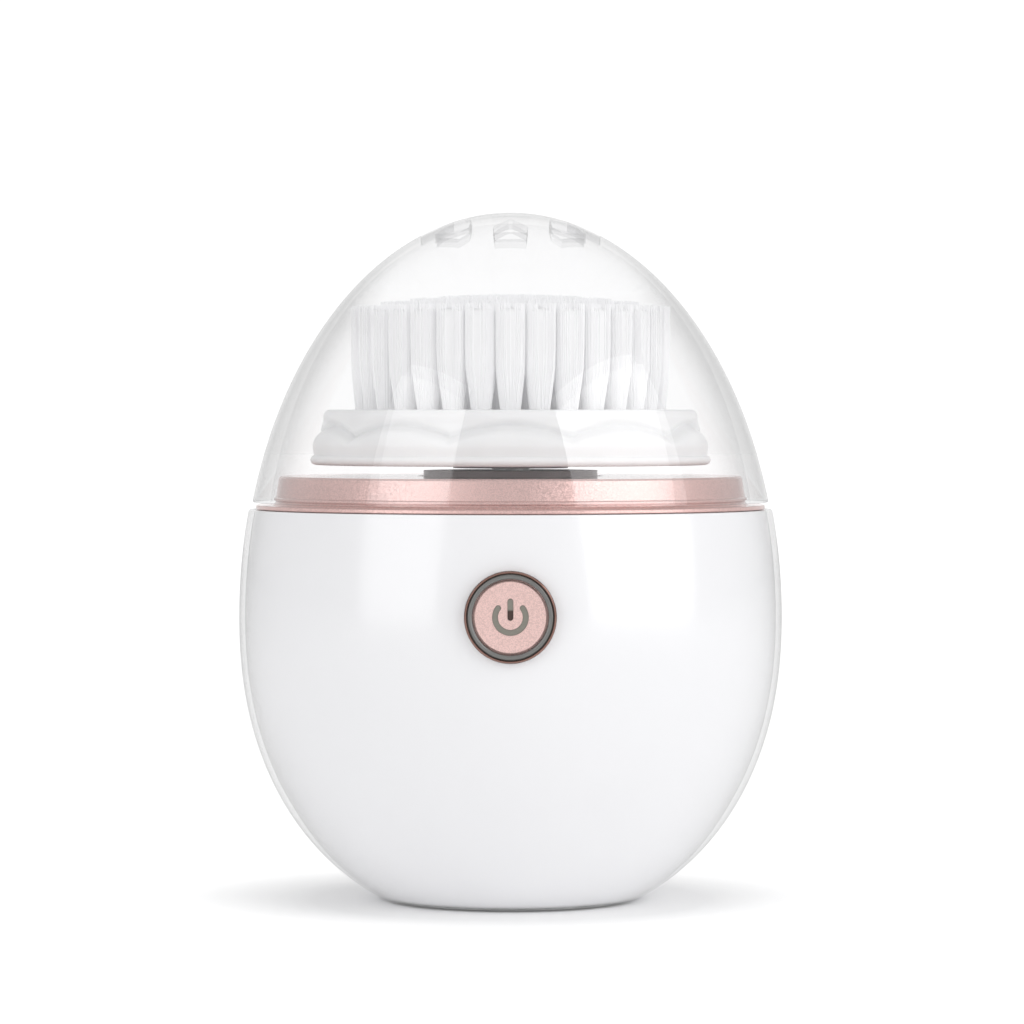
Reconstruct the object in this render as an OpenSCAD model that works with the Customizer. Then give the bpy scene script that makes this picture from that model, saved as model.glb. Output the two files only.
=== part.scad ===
// Facial cleansing brush: an egg-shaped cordless handset with a spinning brush head under a clear cap.
// Millimetres, +Z up, origin at the middle of the flat foot. The power button faces -Y.

/* [Egg] */
// Radius at the widest point
waist_r = 36; // [36:0.5:38]
// Height of the widest point
waist_z = 37.5; // [36.5:0.5:38]
// Height from the widest point up to the top of the cap
crown_height = 53.5; // [53.5:0.5:55]
// Depth of the full curve below the widest point, which the flat foot cuts short
keel_depth = 41.25; // [41:0.25:42]
// Power of the lower curve: 2 is an ellipse, and more is squarer
keel_power = 2.2; // [2.1:0.1:2.3]
// Height of the handset's rim, where the cap begins
rim_z = 51.7; // [51.7:0.1:51.9]

/* [Shells] */
// Thickness of the clear outer skin
skin_t = 0.8; // [0.6:0.1:0.9]
// Thickness of the white inner shell
wall_t = 1.8; // [1.5:0.1:1.9]
// Radius of the rubber foot
foot_r = 16; // [15:0.5:16]

/* [Cap] */
// Height of the cap's lower edge
lid_z = 52.6; // [52.6:0.1:52.9]
// Number of vent holes round the top
vent_count = 8; // [4:1:8]
// Distance of the vent holes from the axis
vent_r = 9.65; // [9.5:0.05:9.9]

/* [Brush] */
// Underside of the brush carrier
carrier_z = 57.6; // [57.6:0.1:57.8]
// Top face of the carrier, where the tufts stand
carrier_top_z = 64.9; // [64.7:0.1:65]
// Number of petals round the carrier
petal_count = 10; // [8:1:12]
// Height of the outermost tufts' tips
tuft_edge_z = 78.6; // [76:0.2:78.6]
// Height of the middle tufts' tips
tuft_crown_z = 80.2; // [79:0.2:80.4]

/* [Gears] */
// Pressure angle of every gear
pressure = 25; // [22:1:25]
// Play between meshed teeth
backlash = 0.08; // [0.05:0.01:0.1]

/* [Button] */
// Height of the button's centre
button_z = 38.9; // [38:0.1:40]
// Radius of the rose-gold trim round the button
trim_r = 5.77; // [5.7:0.01:5.8]
// Radius of the moving cap
key_r = 4.6; // [4.4:0.1:4.6]

/* [Power] */
// Diameter of the lithium cell
cell_d = 16.2; // [15:0.1:16.2]
// Length of the lithium cell
cell_h = 34; // [30:0.5:34]
// Diameter of the motor
motor_d = 20; // [18:0.5:20]

/* [Hidden] */
$fn = 64;

touch = 0.05;         // gap between pieces that lie against each other
run_gap = 0.05;       // radial play of a shaft in its bush
past = 1;             // how far a cutter runs past what it cuts
degrees_in_radian = 180 / PI;

// Shells
skin_low_z = 0.25;
shell_floor_z = 1.05;
cavity_floor_z = 3;
inner_inset = skin_t + 0.06;
cavity_inset = inner_inset + wall_t;
rim_round = 0.25;
keel_steps = 22;
crown_steps = 10;
boss_ring_r = 28.6;
boss_r = 2.3;
boss_low_z = 44;
pilot_r = 0.85;
screw_r = 0.8;

// Deck and collar
deck_low_z = 49.9;
deck_r = 31.7;
deck_boss_r = 9;
deck_boss_z = 55.9;
seal_pocket_z = 54.15;
seal_pocket_r = 6.55;
deck_head_r = 1.75;
deck_head_h = 1.1;
oring_z = 50.8;
oring_r = 0.6;
oring_ring_r = 31.48;
collar_top_z = 56.1;
collar_hole_r = 12;
collar_wall_t = 1.5;

// Cap: its outer curve, and the cavity's, which runs down to clear the collar
lid_waist_r = 35.7;
cavity_waist_r = 33;
cavity_height = 52;
cavity_power = 2.15;
lid_steps = 30;

// Gear train, from the brush gear to the idler and the motor. The tooth counts set the couplings' ratios
gear_module = 0.6;
wheel_teeth = 36;     // on the brush gear and on the idler's wheel
idler_teeth = 12;
motor_teeth = 10;
wheel_pitch_r = gear_module * wheel_teeth / 2;
idler_y = wheel_pitch_r + gear_module * idler_teeth / 2;
motor_turn = 195;
motor_reach = wheel_pitch_r + gear_module * motor_teeth / 2;
motor_x = motor_reach * cos(motor_turn);
motor_y = idler_y + motor_reach * sin(motor_turn);
plate_z = 41.5;
plate_top_z = 43.3;
wheel_z = 44;
wheel_top_z = 46.4;
output_z = 46.9;
output_top_z = 49.3;
post_ring_r = 23.2;
post_angles = [0, 180, 240, 300];

// Spindle and hub
spindle_r = 2.5;
spindle_low_z = 42;
spindle_top_z = 61.55;
bush_r = 4.2;
upper_bush_r = 4.6;
retainer_r = 11.55;
retainer_top_z = 56.86;
hub_r = 7.64;
hub_z = 57.16;
hub_flange_z = 58.5;
dog_w = 8.8;

// Motor
can_low_z = 16.5;
can_top_z = 41.45;
can_t = 1;
motor_shaft_r = 1;

// Battery
cell_x = 11.5;
cell_y = 1;
cell_z = 7;

// Circuit board, which stands behind the button
board_front = 27.2;
board_back = 26;
board_half_w = 11;
board_low_z = 27.5;
board_top_z = 49;
board_screw_x = 8.6;
board_screw_z = [30, 46.2];

// Button parts, as distances from the axis towards the front
trim_face = 35.97;
bezel_face = 35.9;
key_face = 35.75;
pocket_face = 33.4;
pocket_back = 31.4;
pocket_r = 6.9;

// The egg's side at an angle: negative runs down the keel, positive up the crown
function egg_point(angle, inset) = angle < 0
    ? [(waist_r - inset) * pow(cos(angle), 2 / keel_power),
       waist_z - (keel_depth - inset) * pow(sin(-angle), 2 / keel_power)]
    : [(waist_r - inset) * cos(angle), waist_z + (crown_height - inset) * sin(angle)];
function keel_angle(z, inset) = -asin(pow((waist_z - z) / (keel_depth - inset), keel_power / 2));
function crown_angle(z, inset) = asin((z - waist_z) / (crown_height - inset));

// Points up the side from a height in the keel to a height in the crown
function side_points(low_z, high_z, inset) = let (
    low = keel_angle(low_z, inset),
    high = crown_angle(high_z, inset)
) concat(
    [for (i = [0:keel_steps - 1]) egg_point(low * (1 - i / keel_steps), inset)],
    [for (i = [0:crown_steps]) egg_point(high * i / crown_steps, inset)]
);
function reversed(points) = [for (i = [len(points) - 1:-1:0]) points[i]];
function cavity_point(angle) = [
    cavity_waist_r * pow(cos(angle), 2 / cavity_power),
    waist_z + cavity_height * pow(sin(angle), 2 / cavity_power)
];
function cavity_angle(z) = asin(pow((z - waist_z) / cavity_height, cavity_power / 2));

// Half the angle that a gear tooth fills at a radius
function involute(angle) = tan(angle) * degrees_in_radian - angle;
function tooth_half(teeth, r) = let (
    pitch_r = gear_module * teeth / 2,
    base_r = pitch_r * cos(pressure)
) 90 / teeth - backlash / 4 / pitch_r * degrees_in_radian
    + involute(pressure) - involute(acos(min(1, base_r / r)));
function tooth_radii(teeth) = let (
    pitch_r = gear_module * teeth / 2,
    root_r = pitch_r - 1.1 * gear_module,
    tip_r = pitch_r + 0.85 * gear_module,
    start_r = max(root_r, pitch_r * cos(pressure))
) concat(start_r > root_r ? [root_r] : [], [for (i = [0:3]) start_r + (tip_r - start_r) * i / 3]);
function gear_outline(teeth) = let (radii = tooth_radii(teeth), last = len(radii) - 1) [
    for (k = [0:teeth - 1], side = [-1, 1], i = [0:last])
        let (
            r = side < 0 ? radii[i] : radii[last - i],
            a = k * 360 / teeth + side * tooth_half(teeth, r)
        ) [r * cos(a), r * sin(a)]
];

// A smooth line through a wire's points, and the rings of its tube
wire_r = 0.45;
wire_sides = 8;
wire_steps = 4;
wire_up = [0.31, 1, 0.22];
function blend(p, q, r, s, t) = 0.5 * (2 * q + (r - p) * t + (2 * p - 5 * q + 4 * r - s) * t * t
    + (3 * q - p - 3 * r + s) * t * t * t);
function wire_line(points) = let (last = len(points) - 1) concat([
    for (i = [0:last - 1], k = [0:wire_steps - 1]) blend(
        points[max(0, i - 1)], points[i], points[i + 1], points[min(last, i + 2)], k / wire_steps)
], [points[last]]);
function unit(v) = v / norm(v);
function wire_ring(line, i) = let (
    along = unit(line[min(i + 1, len(line) - 1)] - line[max(i - 1, 0)]),
    side = unit(cross(along, wire_up)),
    up = cross(side, along)
) [for (k = [0:wire_sides - 1]) line[i]
    + wire_r * (cos(360 * k / wire_sides) * side + sin(360 * k / wire_sides) * up)];

module wire(points) {
    line = wire_line(points);
    rings = len(line);
    polyhedron(
        points = [for (i = [0:rings - 1]) each wire_ring(line, i)],
        faces = concat(
            [[for (k = [0:wire_sides - 1]) k]],
            [for (i = [0:rings - 2], k = [0:wire_sides - 1]) let (
                n = (k + 1) % wire_sides, a = i * wire_sides, b = a + wire_sides
            ) [a + k, b + k, b + n, a + n]],
            [[for (k = [wire_sides - 1:-1:0]) (rings - 1) * wire_sides + k]]
        )
    );
}

module tube(outer_r, inner_r, low_z, high_z) {
    translate([0, 0, low_z])
        difference() {
            cylinder(r = outer_r, h = high_z - low_z);
            translate([0, 0, -past])
                cylinder(r = inner_r, h = high_z - low_z + 2 * past);
        }
}

module rod(r, low_z, high_z) {
    translate([0, 0, low_z])
        cylinder(r = r, h = high_z - low_z);
}

// Turns what follows so that its Z is the distance from the axis towards the front, at the button's height
module from_front() {
    translate([0, 0, button_z])
        rotate([90, 0, 0])
            children();
}

module block(low, high) {
    translate(low)
        cube(high - low);
}

module round_array(count, ring_r, start = 0) {
    for (i = [0:count - 1])
        rotate([0, 0, start + 360 * i / count])
            translate([ring_r, 0, 0])
                children();
}

module gear(teeth, width, bore_r) {
    linear_extrude(width)
        difference() {
            polygon(gear_outline(teeth));
            circle(bore_r);
        }
}

// A small screw with its head's underside at the origin and its shank down
module screw(head_r, head_h, shank_h) {
    cylinder(r = head_r, h = head_h);
    translate([0, 0, -shank_h])
        cylinder(r = screw_r, h = shank_h);
}

// The clear skin over the whole handset, with its rim rounded over
module outer_shell() {
    outer = side_points(skin_low_z, rim_z - rim_round, 0);
    inner = side_points(shell_floor_z - touch, rim_z, skin_t);
    rim_outer_r = outer[len(outer) - 1][0];
    rim_inner_r = inner[len(inner) - 1][0];
    color("aliceblue", 0.4)
        difference() {
            rotate_extrude()
                polygon(concat(
                    [[foot_r + touch, skin_low_z]],
                    outer,
                    [[rim_outer_r - rim_round * 0.3, rim_z - rim_round * 0.3]],
                    [[rim_outer_r - rim_round, rim_z]],
                    reversed(inner),
                    [[foot_r + touch, shell_floor_z - touch]]
                ));
            from_front()
                cylinder(r = trim_r + touch, h = waist_r + past);
        }
}

// The white shell: it holds the deck's screw bosses, the board's bosses and the button's pocket
module inner_shell() {
    outer = side_points(shell_floor_z, rim_z - touch, inner_inset);
    cavity = side_points(cavity_floor_z, rim_z - touch, cavity_inset);
    color("white")
        difference() {
            union() {
                rotate_extrude()
                    polygon(concat([[0, shell_floor_z]], outer, reversed(cavity), [[0, cavity_floor_z]]));
                round_array(4, boss_ring_r, 45) {
                    rod(boss_r, boss_low_z, deck_low_z - touch);
                    block([0, -boss_r, boss_low_z], [4.4, boss_r, deck_low_z - touch]);
                }
                from_front()
                    rod(pocket_r + 1.3, pocket_back, 33.9);
                for (x = [-board_screw_x, board_screw_x], z = board_screw_z)
                    translate([x, 0, z])
                        rotate([90, 0, 0])
                            rod(1.8, board_front + touch, 33);
            }
            round_array(4, boss_ring_r, 45)
                rod(pilot_r, boss_low_z + 1.2, deck_low_z);
            from_front() {
                cylinder(r = trim_r + touch, h = waist_r);
                rod(pocket_r, pocket_back - past, pocket_face);
            }
            for (x = [-board_screw_x, board_screw_x], z = board_screw_z)
                translate([x, 0, z])
                    rotate([90, 0, 0])
                        rod(pilot_r, board_front, 31.6);
        }
}

module foot_pad() {
    ridge_ring_r = 12;
    color("gainsboro")
        difference() {
            rod(foot_r, 0, shell_floor_z - touch);
            tube(ridge_ring_r + 0.5, ridge_ring_r - 0.5, -past, 0.4);
        }
}

module charging_coil() {
    color("peru")
        tube(15, 6, cavity_floor_z + touch, 4.2);
}

module ferrite_sheet() {
    color("dimgray")
        rod(15.2, 4.25, 4.85);
}

module coil_leads() {
    color("crimson")
        for (x = [-0.8, 0.8])
            wire([[x, -15.7, 3.6], [x, -17, 5], [x, -19.6, 9], [x, -22, 16], [x, -22.6, 23], [x, -22.8, 28.4]]);
}

// The rose-gold collar: a hollow ring with a thin lip over the handset's rim
module collar_ring() {
    lip_r = 33.75;
    lip_z = rim_z + touch;
    lip_top_z = 52.3;
    inner_r = 30.7 - collar_wall_t;
    color("rosybrown") {
        rotate_extrude()
            polygon([
                [inner_r, lip_z], [lip_r - 0.1, lip_z], [lip_r, lip_z + 0.1], [lip_r, lip_top_z - 0.1],
                [lip_r - 0.1, lip_top_z], [31.5, lip_top_z], [31.25, 52.55], [31.1, 52.8],
                [31.35, 52.95], [31.35, 53.2], [31.1, 53.35], [30.72, 55.85], [30.45, collar_top_z],
                [collar_hole_r + 0.3, collar_top_z], [collar_hole_r, collar_top_z - 0.3],
                [collar_hole_r, collar_top_z - 1.2], [inner_r, collar_top_z - 1.2]
            ]);
        round_array(3, 24, 90)
            rod(1.6, rim_z + touch, collar_top_z - 0.8);
    }
}

// The white deck closes the shell. Its boss carries the upper bush and the shaft seal
module deck_plate() {
    color("whitesmoke")
        difference() {
            union() {
                rod(deck_r, deck_low_z, rim_z);
                rod(deck_boss_r, rim_z, deck_boss_z);
                for (a = post_angles)
                    rotate([0, 0, a])
                        translate([post_ring_r, 0, 0])
                            rod(2.5, plate_top_z + touch, deck_low_z + 0.4);
            }
            rod(upper_bush_r, deck_low_z - past, seal_pocket_z);
            rod(seal_pocket_r, seal_pocket_z, deck_boss_z + past);
            tube(deck_r + past, oring_ring_r - oring_r - touch, oring_z - 0.65, oring_z + 0.65);
            round_array(4, boss_ring_r, 45) {
                rod(screw_r + 0.2, deck_low_z - past, rim_z + past);
                rod(deck_head_r + 0.1, rim_z - deck_head_h - touch, rim_z + past);
            }
            for (a = post_angles)
                rotate([0, 0, a])
                    translate([post_ring_r, 0, 0])
                        rod(pilot_r, plate_top_z, 48.2);
            translate([0, idler_y, 0])
                rod(1, deck_low_z - past, 50.6);
        }
}

module deck_seal() {
    color("dimgray")
        rotate_extrude()
            translate([oring_ring_r, oring_z])
                circle(r = oring_r, $fn = 32);
}

module deck_screws() {
    color("silver")
        round_array(4, boss_ring_r, 45)
            translate([0, 0, rim_z - deck_head_h - touch])
                screw(deck_head_r, deck_head_h, 5);
}

module button_trim() {
    color("rosybrown")
        from_front()
            rotate_extrude()
                polygon([
                    [5.5, pocket_face + touch], [trim_r, pocket_face + touch], [trim_r, trim_face - 0.12],
                    [trim_r - 0.12, trim_face], [5.58, trim_face], [5.5, trim_face - 0.1]
                ]);
}

// The dark ring between the trim and the key, with a rounded face
module button_bezel() {
    inner_r = key_r + 0.18;
    outer_r = 5.46;
    crown_r = (outer_r - inner_r) / 2;
    color("dimgray")
        from_front()
            rotate_extrude() {
                translate([inner_r, 34.65])
                    square([outer_r - inner_r, bezel_face - crown_r - 34.65]);
                translate([inner_r + crown_r, bezel_face - crown_r])
                    circle(r = crown_r, $fn = 32);
            }
}

// The power symbol, flat, with its open side up
module power_symbol(spread) {
    arc_r = 1.93;
    line_r = 0.36 + spread;
    gap = 53;
    difference() {
        circle(arc_r + line_r);
        circle(arc_r - line_r);
        polygon([[0, 0], [5 * cos(90 - gap), 5 * sin(90 - gap)], [0, 9], [-5 * cos(90 - gap), 5 * sin(90 - gap)]]);
    }
    for (a = [90 - gap, 90 + gap])
        translate([arc_r * cos(a), arc_r * sin(a)])
            circle(r = line_r, $fn = 32);
    translate([-line_r, -0.04])
        square([2 * line_r, 2.04]);
    for (y = [-0.04, 2])
        translate([0, y])
            circle(r = line_r, $fn = 32);
}

// The moving key: a face, a flange that keeps it in, and the stem that meets the switch
module button_cap() {
    color("rosybrown")
        from_front()
            difference() {
                union() {
                    rotate_extrude()
                        polygon([
                            [0, 31.4], [1.5, 31.4], [1.5, 33.9], [5.15, 33.9], [5.15, 34.3], [key_r, 34.3],
                            [key_r, key_face - 0.15], [key_r - 0.15, key_face], [0, key_face]
                        ]);
                }
                translate([0, 0, key_face - 0.55])
                    linear_extrude(past)
                        power_symbol(0.02);
            }
}

module button_icon() {
    color("gray")
        from_front()
            translate([0, 0, key_face - 0.5])
                linear_extrude(0.42)
                    power_symbol(0);
}

module button_diaphragm() {
    color("whitesmoke")
        from_front()
            tube(pocket_r - touch, 1.8, 32.85, pocket_face - touch);
}

module button_retainer() {
    color("white")
        from_front()
            tube(pocket_r - touch, 5, pocket_back + 0.1, 32.8);
}

module circuit_board() {
    color("darkgreen")
        difference() {
            block([-board_half_w, -board_front, board_low_z], [board_half_w, -board_back, board_top_z]);
            for (x = [-board_screw_x, board_screw_x], z = board_screw_z)
                translate([x, 0, z])
                    rotate([90, 0, 0])
                        rod(screw_r + 0.2, board_back - past, board_front + past);
        }
}

module board_screws() {
    color("silver")
        for (x = [-board_screw_x, board_screw_x], z = board_screw_z)
            translate([x, -board_back, z])
                rotate([-90, 0, 0])
                    screw(1.5, 0.9, 4.6);
}

module tact_switch() {
    color("silver") {
        block([-3, -30.2, button_z - 3], [3, -board_front, button_z + 3]);
        from_front()
            rod(1.7, 30.2, 30.9);
    }
}

module status_led() {
    color("white")
        block([-0.8, -28.1, button_z + 4.2], [0.8, -board_front, button_z + 5.2]);
}

module control_chip() {
    color("black")
        block([-4, -board_back, 38], [4, -board_back + 1.4, 44]);
}

// Sockets on the back of the board for the cell's, the motor's and the coil's leads
module lead_plugs() {
    color("ivory") {
        block([5.6, -board_back, 32.2], [11, -23.3, 36.2]);
        block([-8.4, -board_back, 31.6], [-3, -23.3, 35.6]);
        block([-1.9, -board_back, 28.6], [1.9, -22.2, 31]);
    }
}

module battery_cell() {
    color("teal")
        translate([cell_x, cell_y, 0]) {
            rod(cell_d / 2, cell_z, cell_z + cell_h - 0.8);
            rod(3, cell_z + cell_h - 0.8, cell_z + cell_h);
        }
}

// An open-fronted cup round the cell, hung from the gearbox plate
module battery_cradle() {
    sleeve_r = cell_d / 2 + 0.15;
    color("white")
        translate([cell_x, cell_y, 0])
            difference() {
                rod(sleeve_r + 1.2, 6.2, plate_z - touch);
                rod(sleeve_r, cell_z - touch, plate_z);
                block([-5, -12, cell_z + 4], [5, 0, plate_z]);
            }
}

module battery_leads() {
    color("crimson")
        for (x = [-1, 1])
            wire([
                [cell_x - 1.5 + x, -7.75, 35], [cell_x - 1.8 + x, -11, 35.4], [9.4 + x, -16, 35.2],
                [8.6 + x, -20, 34.5], [8.3 + x, -23.2, 34.2]
            ]);
}

module at_motor() {
    translate([motor_x, motor_y, 0])
        children();
}

module motor_can() {
    color("silver")
        at_motor()
            difference() {
                union() {
                    rod(motor_d / 2, can_low_z, can_top_z);
                    rod(3, can_top_z, 42.9);
                }
                rod(motor_d / 2 - can_t, can_low_z - past, can_top_z - can_t);
                rod(motor_shaft_r + run_gap, can_low_z, 43.5);
                rotate([0, 0, motor_turn])
                    for (y = [-5.5, 5.5])
                        translate([0, y, 0])
                            rod(pilot_r, 39, can_top_z + past);
            }
}

module motor_end_cap() {
    color("whitesmoke")
        at_motor()
            difference() {
                union() {
                    rod(motor_d / 2 - can_t - touch, can_low_z - 0.1, 18.6);
                    rod(motor_d / 2 - 0.3, 15.2, can_low_z - touch);
                }
                rod(motor_shaft_r + run_gap, 15, 19);
            }
}

module motor_magnets() {
    color("dimgray")
        at_motor()
            difference() {
                tube(motor_d / 2 - can_t - touch, 7.6, 20.5, 36);
                for (x = [-1, 1])
                    translate([x * 8, 0, 28])
                        cube([6, 6, 20], center = true);
            }
}

module motor_terminals() {
    color("goldenrod")
        at_motor()
            for (x = [-3, 3])
                block([x - 0.8, -10.9, 15.7], [x + 0.8, -9.5, 16.2]);
}

module motor_leads() {
    color("black")
        for (x = [-3, 3])
            wire([
                [motor_x + x, -0.65, 15.95], [motor_x + x * 0.9 + 0.5, -4, 16.2], [-10.5 + x * 0.5, -12, 21],
                [-7 + x * 0.35, -19, 29.5], [-5.7 + x * 0.33, -22.9, 33.5]
            ]);
}

module motor_screws() {
    color("silver")
        at_motor()
            rotate([0, 0, motor_turn])
                for (y = [-5.5, 5.5])
                    translate([0, y, plate_top_z])
                        screw(1.5, 0.9, 3.6);
}

module motor_shaft() {
    color("lightsteelblue")
        at_motor()
            rod(motor_shaft_r, 14.6, 46.8);
}

// The motor's rotor: three slotted poles and a commutator
module motor_armature() {
    color("sienna")
        at_motor() {
            difference() {
                tube(7, motor_shaft_r, 21.5, 35);
                round_array(3, 6.2)
                    rod(2, 21, 36);
            }
            tube(3, motor_shaft_r, 19, 21.45);
        }
}

module motor_pinion() {
    color("goldenrod")
        at_motor()
            translate([0, 0, wheel_z])
                rotate([0, 0, motor_turn + 180 + 180 / motor_teeth])
                    gear(motor_teeth, wheel_top_z + 0.2 - wheel_z, motor_shaft_r);
}

// The plate under the gears. It carries the motor, the idler's pin and the lower bush
module gearbox_base() {
    plate_r = 26;
    front_cut = 23.4;
    color("lightgray")
        difference() {
            rod(plate_r, plate_z, plate_top_z);
            block([-plate_r, -plate_r - past, plate_z - past], [plate_r, -front_cut, plate_top_z + past]);
            rod(bush_r, 41.9, plate_top_z + past);
            translate([0, idler_y, 0])
                rod(1, plate_z + 0.4, plate_top_z + past);
            at_motor() {
                rod(3 + touch, plate_z - past, plate_top_z + past);
                rotate([0, 0, motor_turn])
                    for (y = [-5.5, 5.5])
                        translate([0, y, 0])
                            rod(screw_r + 0.1, plate_z - past, plate_top_z + past);
            }
            for (a = post_angles)
                rotate([0, 0, a])
                    translate([post_ring_r, 0, 0])
                        rod(screw_r + 0.2, plate_z - past, plate_top_z + past);
        }
}

module gearbox_screws() {
    color("silver")
        for (a = post_angles)
            rotate([0, 0, a])
                translate([post_ring_r, 0, plate_z])
                    rotate([180, 0, 0])
                        screw(1.7, 1.1, 6);
}

module idler_axle() {
    color("lightsteelblue")
        translate([0, idler_y, 0])
            rod(1, plate_z + 0.4, 50.6);
}

module idler_gear() {
    color("ivory")
        translate([0, idler_y, 0]) {
            translate([0, 0, wheel_z])
                rotate([0, 0, motor_turn])
                    gear(wheel_teeth, wheel_top_z - wheel_z, 1 + run_gap);
            translate([0, 0, wheel_top_z])
                rotate([0, 0, 180 / idler_teeth])
                    gear(idler_teeth, output_top_z + 0.2 - wheel_top_z, 1 + run_gap);
        }
}

module lower_bush() {
    color("darkgoldenrod")
        tube(bush_r, spindle_r + run_gap, 41.9, 43.6);
}

module output_gear() {
    color("ivory")
        translate([0, 0, output_z])
            gear(wheel_teeth, output_top_z - output_z, spindle_r);
}

module spindle() {
    color("lightsteelblue")
        difference() {
            rod(spindle_r, spindle_low_z, spindle_top_z);
            rod(pilot_r, 55, spindle_top_z + past);
        }
}

module upper_bush() {
    color("darkgoldenrod")
        tube(upper_bush_r, spindle_r + run_gap, deck_low_z + 0.1, seal_pocket_z - touch);
}

module shaft_seal() {
    color("dimgray")
        tube(seal_pocket_r, spindle_r + run_gap, seal_pocket_z, 55.75);
}

// The grey cap over the deck's boss, which keeps the seal in
module seal_retainer() {
    color("gray")
        difference() {
            rod(retainer_r, rim_z + touch, retainer_top_z);
            rod(deck_boss_r + touch, rim_z, deck_boss_z + touch);
            rod(spindle_r + 0.5, deck_boss_z, retainer_top_z + past);
        }
}

// The flange and square dog that the brush pushes onto
module drive_hub() {
    color("dimgray")
        difference() {
            union() {
                rod(hub_r, hub_z, hub_flange_z);
                block([-dog_w / 2, -dog_w / 2, hub_flange_z], [dog_w / 2, dog_w / 2, spindle_top_z]);
            }
            rod(spindle_r, hub_z - past, spindle_top_z + past);
        }
}

module hub_screw() {
    color("silver")
        translate([0, 0, spindle_top_z])
            screw(3.2, 0.9, 6);
}

// The frosted brush carrier: a thick disc on a skirt, with petals moulded round its side
module brush_carrier() {
    socket_w = dog_w + 0.3;
    petal_r = 17;
    petal_top_z = 62.6;
    color("white", 0.8)
        difference() {
            union() {
                rotate_extrude()
                    polygon([
                        [7.9, 58.8], [7.9, 61.4], [23.4, 61.4], [24, carrier_z], [25.7, carrier_z],
                        [26.25, carrier_z + 0.15], [26.55, carrier_z + 0.5], [26.55, 58.6], [26.2, 58.95],
                        [25.1, 59.6], [24.2, 64.4], [23.75, carrier_top_z], [0, carrier_top_z],
                        [0, 62.75], [6.6, 62.75], [6.6, 58.8]
                    ]);
                rod(7.5, 58.8, 62.8);
                intersection() {
                    rotate_extrude()
                        polygon([[24, 59], [26, 59.3], [26.1, 60.2], [25.2, 62.4], [24.6, 64], [24, 64]]);
                    for (i = [0:petal_count - 1])
                        rotate([0, 0, 270 + 360 * i / petal_count])
                            translate([23, 0, petal_top_z - petal_r])
                                rotate([0, 90, 0])
                                    cylinder(r = petal_r, h = 4);
                }
            }
            block([-socket_w / 2, -socket_w / 2, 58], [socket_w / 2, socket_w / 2, 62.75]);
        }
}

// One ring of tufts, each a slim cone whose tip follows the brush's crown
module tuft_ring(count, ring_r, start = 0) {
    tip_z = tuft_crown_z - (tuft_crown_z - tuft_edge_z) * pow(ring_r / 19.3, 2);
    round_array(count, ring_r, start)
        translate([0, 0, carrier_top_z])
            cylinder(r1 = 1.35, r2 = 1.6, h = tip_z - carrier_top_z, $fn = 24);
}

module outer_tufts() {
    color("snow")
        tuft_ring(32, 19.3);
}

module middle_tufts() {
    color("snow") {
        tuft_ring(26, 15.4, 5);
        tuft_ring(19, 11.5);
    }
}

module inner_tufts() {
    color("snow") {
        tuft_ring(12, 7.6, 8);
        tuft_ring(6, 3.9);
        tuft_ring(1, 0);
    }
}

// A vent: a small house shape whose roof points to the top of the cap, measured from the axis
module vent() {
    half_w = 2.26;
    polygon([
        [vent_r + 2.2, -half_w + 0.16], [vent_r + 2.2, half_w - 0.16], [vent_r + 0.35, half_w],
        [vent_r - 2.15, 0.25], [vent_r - 2.15, -0.25], [vent_r + 0.35, -half_w]
    ]);
}

// The clear cap: thick at the skirt and thinner over the brush, with vents and three small lugs inside
module lid() {
    low_angle = asin((lid_z + 0.4 - waist_z) / crown_height);
    skirt_angle = cavity_angle(lid_z);
    skirt_r = cavity_point(skirt_angle)[0];
    lug_angles = [239, 359, 119];
    color("aliceblue", 0.4) {
        difference() {
            rotate_extrude()
                polygon(concat(
                    [[33.9, lid_z], [34.15, lid_z + 0.12]],
                    [for (i = [0:lid_steps]) let (a = low_angle + (90 - low_angle) * i / lid_steps)
                        [i == lid_steps ? 0 : lid_waist_r * cos(a), waist_z + crown_height * sin(a)]],
                    [for (i = [0:lid_steps]) let (a = 90 - (90 - skirt_angle) * i / lid_steps)
                        i == 0 ? [0, waist_z + cavity_height] : cavity_point(a)]
                ));
            for (i = [0:vent_count - 1])
                rotate([0, 0, 270 + 360 * i / vent_count])
                    translate([0, 0, 84])
                        linear_extrude(10)
                            vent();
        }
        for (a = lug_angles)
            rotate([0, 0, a])
                block([skirt_r - 0.35, -1.8, 53.1], [skirt_r + 1, 1.8, 54.4]);
    }
}

outer_shell();
inner_shell();
foot_pad();
charging_coil();
ferrite_sheet();
coil_leads();
collar_ring();
deck_plate();
deck_seal();
deck_screws();
button_trim();
button_bezel();
button_cap();
button_icon();
button_diaphragm();
button_retainer();
circuit_board();
board_screws();
tact_switch();
status_led();
control_chip();
lead_plugs();
battery_cell();
battery_cradle();
battery_leads();
motor_can();
motor_end_cap();
motor_magnets();
motor_terminals();
motor_leads();
motor_screws();
motor_shaft();
motor_armature();
motor_pinion();
gearbox_base();
gearbox_screws();
idler_axle();
idler_gear();
lower_bush();
output_gear();
spindle();
upper_bush();
shaft_seal();
seal_retainer();
drive_hub();
hub_screw();
brush_carrier();
outer_tufts();
middle_tufts();
inner_tufts();
lid();
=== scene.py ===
"""Looks for the facial cleansing brush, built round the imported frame. Lengths in the tables are millimetres."""

import math
import random

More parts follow.
